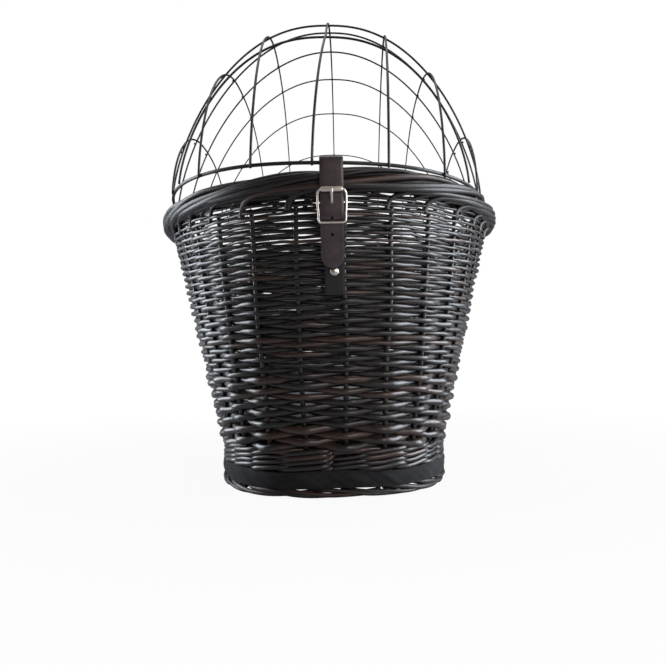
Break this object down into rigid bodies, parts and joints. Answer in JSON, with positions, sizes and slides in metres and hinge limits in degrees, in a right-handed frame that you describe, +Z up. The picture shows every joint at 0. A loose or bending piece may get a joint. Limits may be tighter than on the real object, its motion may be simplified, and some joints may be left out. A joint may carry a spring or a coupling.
{
  "type": "dog bicycle basket",
  "caption": "Oval wicker pet basket with a hinged wire hood, a buckled leather closure and clamps under its base for a luggage carrier.",
  "frame": {"origin": "middle of the foot, on the surface that the basket stands on", "axes": "+Y forwards along the bicycle, away from the closure strap, +Z up, +X to the right as seen from behind"},
  "size_m": [0.366, 0.5621, 0.4769],
  "materials": {
    "willow": "black dyed willow rods, satin lacquer with a brown undertone",
    "border_willow": "thicker black dyed willow rods, satin lacquer",
    "band_fabric": "black velvety fabric strip",
    "cushion_fabric": "grey woven cushion cover",
    "hood_wire": "black coated steel wire, semi-gloss",
    "strap_leather": "very dark brown leather with stitched edges",
    "tab_leather": "smooth black leather",
    "buckle_metal": "polished pale nickel",
    "rivet_metal": "nickel-plated brass rivet",
    "clamp_steel": "zinc-plated steel"
  },
  "bodies": {
    "basket": {"side_weave": "willow", "bottom_wale": "willow", "foot_skirt": "willow", "woven_base": "willow", "rim_border": "border_willow", "foot_border": "border_willow", "base_band": "band_fabric", "floor_cushion": "cushion_fabric", "hinge_loop_left": "tab_leather", "hinge_loop_right": "tab_leather", "buckle_tab": "tab_leather", "buckle_frame": "buckle_metal", "tab_rivet": "rivet_metal", "hinge_rivet_left": "rivet_metal", "hinge_rivet_right": "rivet_metal", "floor_plate_rear": "clamp_steel", "floor_plate_front": "clamp_steel", "clamp_bolt_rear_left": "clamp_steel", "clamp_bolt_rear_right": "clamp_steel", "clamp_bolt_front_left": "clamp_steel", "clamp_bolt_front_right": "clamp_steel"},
    "hood": {"hood_ring": "hood_wire", "hood_arch_1": "hood_wire", "hood_arch_2": "hood_wire", "hood_arch_3": "hood_wire", "hood_arch_4": "hood_wire", "hood_arch_5": "hood_wire", "hood_arch_6": "hood_wire", "hood_arch_7": "hood_wire", "hood_bar_1": "hood_wire", "hood_bar_2": "hood_wire", "hood_bar_3": "hood_wire", "hood_bar_4": "hood_wire", "hood_bar_5": "hood_wire", "hood_bar_6": "hood_wire", "hood_bar_7": "hood_wire", "closure_strap": "strap_leather"},
    "prong": {"buckle_prong": "buckle_metal"},
    "roller": {"buckle_roller": "buckle_metal"},
    "rear_clamp": {"clamp_bar_rear": "clamp_steel"},
    "front_clamp": {"clamp_bar_front": "clamp_steel"},
    "rear_left_nut": {"wing_nut_rear_left": "clamp_steel"},
    "rear_right_nut": {"wing_nut_rear_right": "clamp_steel"},
    "front_left_nut": {"wing_nut_front_left": "clamp_steel"},
    "front_right_nut": {"wing_nut_front_right": "clamp_steel"}
  },
  "joints": [
    {"name": "hood_hinge", "type": "hinge", "parent": "basket", "child": "hood", "pos_m": [0.00758, 0.27146, 0.27814], "axis": [-0.9994, 0.0279, 0.0209], "range_deg": [0, 110]},
    {"name": "prong_hinge", "type": "hinge", "parent": "basket", "child": "prong", "pos_m": [0.002, -0.27275, 0.237], "axis": [1, 0, 0], "range_deg": [0, 4]},
    {"name": "roller_spin", "type": "hinge", "parent": "basket", "child": "roller", "pos_m": [0.002, -0.2797, 0.2555], "axis": [1, 0, 0], "continuous": true},
    {"name": "rear_clamp_travel", "type": "slide", "parent": "basket", "child": "rear_clamp", "axis": [0, 0, -1], "range_m": [0, 0.008]},
    {"name": "rear_left_nut_turn", "type": "hinge", "parent": "rear_clamp", "child": "rear_left_nut", "pos_m": [-0.052, -0.095, 0.018], "axis": [0, 0, 1], "range_deg": [0, 2880]},
    {"name": "rear_right_nut_turn", "type": "hinge", "parent": "rear_clamp", "child": "rear_right_nut", "pos_m": [0.052, -0.095, 0.018], "axis": [0, 0, 1], "range_deg": [0, 2880]},
    {"name": "front_clamp_travel", "type": "slide", "parent": "basket", "child": "front_clamp", "axis": [0, 0, -1], "range_m": [0, 0.008]},
    {"name": "front_left_nut_turn", "type": "hinge", "parent": "front_clamp", "child": "front_left_nut", "pos_m": [-0.052, 0.095, 0.018], "axis": [0, 0, 1], "range_deg": [0, 2880]},
    {"name": "front_right_nut_turn", "type": "hinge", "parent": "front_clamp", "child": "front_right_nut", "pos_m": [0.052, 0.095, 0.018], "axis": [0, 0, 1], "range_deg": [0, 2880]}
  ]
}
